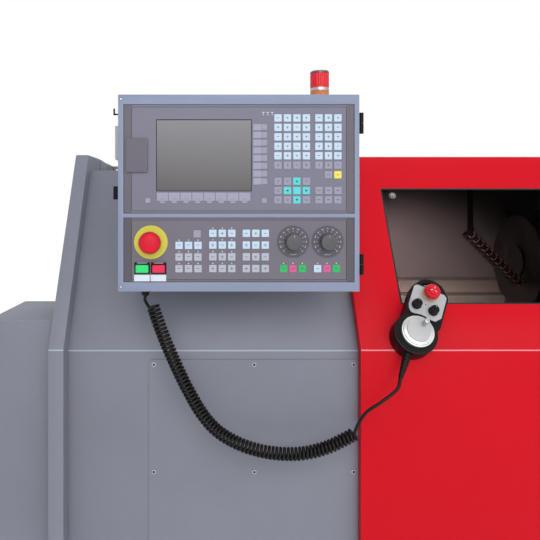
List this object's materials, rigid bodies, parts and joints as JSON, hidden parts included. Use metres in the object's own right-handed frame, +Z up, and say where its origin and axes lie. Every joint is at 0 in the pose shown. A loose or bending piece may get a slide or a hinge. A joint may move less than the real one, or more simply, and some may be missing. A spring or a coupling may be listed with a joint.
{
  "type": "cnc turning lathe",
  "caption": "Slant-bed turning lathe in a grey casing with a red sliding windowed door, hinged operator console, curly-cord hand pendant and signal tower.",
  "frame": {"origin": "on the floor, below the middle of the machine's bounding box", "axes": "+X to the right along the spindle axis, -Y towards the operator, +Z up"},
  "size_m": [2.1, 1.3, 1.917],
  "materials": {
    "casing_grey": "fine textured grey powder coat",
    "door_red": "glossy red powder coat",
    "console_grey": "dark grey fine texture",
    "panel_grey": "dark membrane foil",
    "key_white": "printed membrane keys",
    "screen_glass": "unlit display",
    "tinted_glass": "tinted laminated glass",
    "black_plastic": "satin black",
    "knob_black": "satin black",
    "handle_black": "satin black",
    "pendant_plate": "brushed, printed",
    "dial_steel": "turned",
    "stop_red": "moulded red",
    "button_green": "moulded green",
    "button_red": "moulded red",
    "cord_rubber": "satin black jacket",
    "tower_silver": "silver",
    "tower_red": "ribbed translucent lens",
    "zinc_steel": "zinc plated",
    "bright_steel": "ground",
    "bed_iron": "painted grey casting with ground ways",
    "turret_paint": "painted grey",
    "motor_black": "black ribbed housing",
    "belt_rubber": "black",
    "chain_plastic": "black nylon"
  },
  "bodies": {
    "machine": {"machine_base": "casing_grey", "levelling_feet": "zinc_steel", "left_side_panel": "casing_grey", "right_side_panel": "casing_grey", "left_end_guard": "casing_grey", "headstock_cover": "casing_grey", "service_panel": "casing_grey", "right_front_cover": "door_red", "rear_housing": "casing_grey", "rear_guard": "casing_grey", "door_rails": "bright_steel", "slant_bed": "bed_iron", "headstock": "bed_iron", "spindle_motor": "motor_black", "drive_belt": "belt_rubber", "cable_chain": "chain_plastic", "console_arm": "console_grey", "console_box": "console_grey", "cord_gland": "black_plastic", "curly_cord": "cord_rubber", "stack_light_base": "tower_silver", "stack_light_lenses": "tower_red"},
    "door": {"door_panel": "door_red", "door_window": "tinted_glass", "door_handle": "handle_black", "pendant_body": "black_plastic", "pendant_face": "pendant_plate", "pendant_boot": "cord_rubber"},
    "console_door": {"console_frame": "console_grey", "display_panel": "panel_grey", "display_screen": "screen_glass", "display_keys": "key_white", "control_panel": "panel_grey", "control_keys": "key_white"},
    "card_flap": {"card_flap": "panel_grey"},
    "console_stop": {"console_estop": "stop_red"},
    "start_button": {"start_button": "button_green"},
    "stop_button": {"stop_button": "button_red"},
    "feed_knob": {"feed_knob": "knob_black"},
    "speed_knob": {"speed_knob": "knob_black"},
    "handwheel": {"handwheel": "dial_steel"},
    "crank_grip": {"crank_grip": "black_plastic"},
    "axis_knob": {"axis_knob": "knob_black"},
    "rate_knob": {"rate_knob": "knob_black"},
    "pendant_stop": {"pendant_estop": "stop_red"},
    "spindle": {"spindle": "bright_steel", "chuck_body": "bright_steel"},
    "jaw_1": {"chuck_jaw_1": "bright_steel"},
    "jaw_2": {"chuck_jaw_2": "bright_steel"},
    "jaw_3": {"chuck_jaw_3": "bright_steel"},
    "motor_pulley": {"motor_pulley": "bright_steel"},
    "carriage": {"saddle": "bed_iron"},
    "z_screw": {"z_ball_screw": "bright_steel"},
    "cross_slide": {"cross_slide": "bed_iron", "turret_head": "turret_paint"},
    "turret": {"turret_disc": "bright_steel"},
    "tailstock": {"tailstock_body": "bed_iron"},
    "quill": {"tailstock_quill": "bright_steel"},
    "center": {"live_center": "bright_steel"},
    "tank": {"coolant_tank": "casing_grey"}
  },
  "joints": [
    {"name": "door_slide", "type": "slide", "parent": "machine", "child": "door", "axis": [1, 0, 0], "range_m": [-0.56, 0], "deforming": ["curly_cord"]},
    {"name": "console_hinge", "type": "hinge", "parent": "machine", "child": "console_door", "pos_m": [-0.318, -0.606, 1.5], "axis": [0, 0, 1], "range_deg": [0, 100]},
    {"name": "card_flap_hinge", "type": "hinge", "parent": "console_door", "child": "card_flap", "pos_m": [-0.7485, -0.6179, 1.571], "axis": [0, 0, -1], "range_deg": [0, 110]},
    {"name": "console_stop_push", "type": "slide", "parent": "console_door", "child": "console_stop", "axis": [0, 1, 0], "range_m": [0, 0.004], "stiffness_N_per_m": 600},
    {"name": "start_push", "type": "slide", "parent": "console_door", "child": "start_button", "axis": [0, 1, 0], "range_m": [0, 0.0025], "stiffness_N_per_m": 400},
    {"name": "stop_push", "type": "slide", "parent": "console_door", "child": "stop_button", "axis": [0, 1, 0], "range_m": [0, 0.0025], "stiffness_N_per_m": 400},
    {"name": "feed_turn", "type": "hinge", "parent": "console_door", "child": "feed_knob", "pos_m": [-0.4446, -0.615, 1.4139], "axis": [0, -1, 0], "range_deg": [-150, 150]},
    {"name": "speed_turn", "type": "hinge", "parent": "console_door", "child": "speed_knob", "pos_m": [-0.3818, -0.615, 1.4139], "axis": [0, -1, 0], "range_deg": [-150, 150]},
    {"name": "handwheel_spin", "type": "hinge", "parent": "door", "child": "handwheel", "pos_m": [-0.203, -0.57112, 1.23961], "axis": [0, -0.866, 0.5], "continuous": true},
    {"name": "crank_spin", "type": "hinge", "parent": "handwheel", "child": "crank_grip", "pos_m": [-0.19134, -0.5806, 1.25919], "axis": [0, -0.866, 0.5], "continuous": true},
    {"name": "axis_turn", "type": "hinge", "parent": "door", "child": "axis_knob", "pos_m": [-0.1936, -0.5459, 1.2893], "axis": [0, -0.866, 0.5], "range_deg": [-60, 60]},
    {"name": "rate_turn", "type": "hinge", "parent": "door", "child": "rate_knob", "pos_m": [-0.16406, -0.55279, 1.27737], "axis": [0, -0.866, 0.5], "range_deg": [-60, 60]},
    {"name": "pendant_stop_push", "type": "slide", "parent": "door", "child": "pendant_stop", "axis": [0, 0.866, -0.5], "range_m": [0, 0.003], "stiffness_N_per_m": 500},
    {"name": "spindle_spin", "type": "hinge", "parent": "machine", "child": "spindle", "pos_m": [0, -0.14, 1.08], "axis": [1, 0, 0], "continuous": true},
    {"name": "jaw_1_slide", "type": "slide", "parent": "spindle", "child": "jaw_1", "axis": [0, 0, 1], "range_m": [-0.004, 0.006]},
    {"name": "jaw_2_slide", "type": "slide", "parent": "spindle", "child": "jaw_2", "axis": [0, -0.866, -0.5], "range_m": [-0.004, 0.006]},
    {"name": "jaw_3_slide", "type": "slide", "parent": "spindle", "child": "jaw_3", "axis": [0, 0.866, -0.5], "range_m": [-0.004, 0.006]},
    {"name": "motor_spin", "type": "hinge", "parent": "machine", "child": "motor_pulley", "pos_m": [0, 0.12, 0.83], "axis": [1, 0, 0], "continuous": true},
    {"name": "carriage_slide", "type": "slide", "parent": "machine", "child": "carriage", "axis": [1, 0, 0], "range_m": [-0.3, 0.02], "deforming": ["cable_chain"]},
    {"name": "z_screw_spin", "type": "hinge", "parent": "machine", "child": "z_screw", "pos_m": [0, 0.18456, 1.10899], "axis": [1, 0, 0], "range_deg": [-10900, 730]},
    {"name": "cross_slide_travel", "type": "slide", "parent": "carriage", "child": "cross_slide", "axis": [0, 0.7071, 0.7071], "range_m": [-0.14, 0]},
    {"name": "turret_index", "type": "hinge", "parent": "cross_slide", "child": "turret", "pos_m": [0, 0.09334, 1.31334], "axis": [1, 0, 0], "continuous": true},
    {"name": "tailstock_slide", "type": "slide", "parent": "machine", "child": "tailstock", "axis": [1, 0, 0], "range_m": [-0.02, 0.12]},
    {"name": "quill_slide", "type": "slide", "parent": "tailstock", "child": "quill", "axis": [1, 0, 0], "range_m": [-0.06, 0]},
    {"name": "center_spin", "type": "hinge", "parent": "quill", "child": "center", "pos_m": [0.5, -0.14, 1.08], "axis": [1, 0, 0], "continuous": true},
    {"name": "tank_slide", "type": "slide", "parent": "machine", "child": "tank", "axis": [1, 0, 0], "range_m": [0, 0.6]}
  ],
  "couplings": [
    {"joint": "jaw_2_slide", "follows": "jaw_1_slide", "ratio": 1},
    {"joint": "jaw_3_slide", "follows": "jaw_1_slide", "ratio": 1},
    {"joint": "motor_spin", "follows": "spindle_spin", "ratio": 1.5714},
    {"joint": "z_screw_spin", "follows": "carriage_slide", "rad_per_m": 628.32}
  ]
}
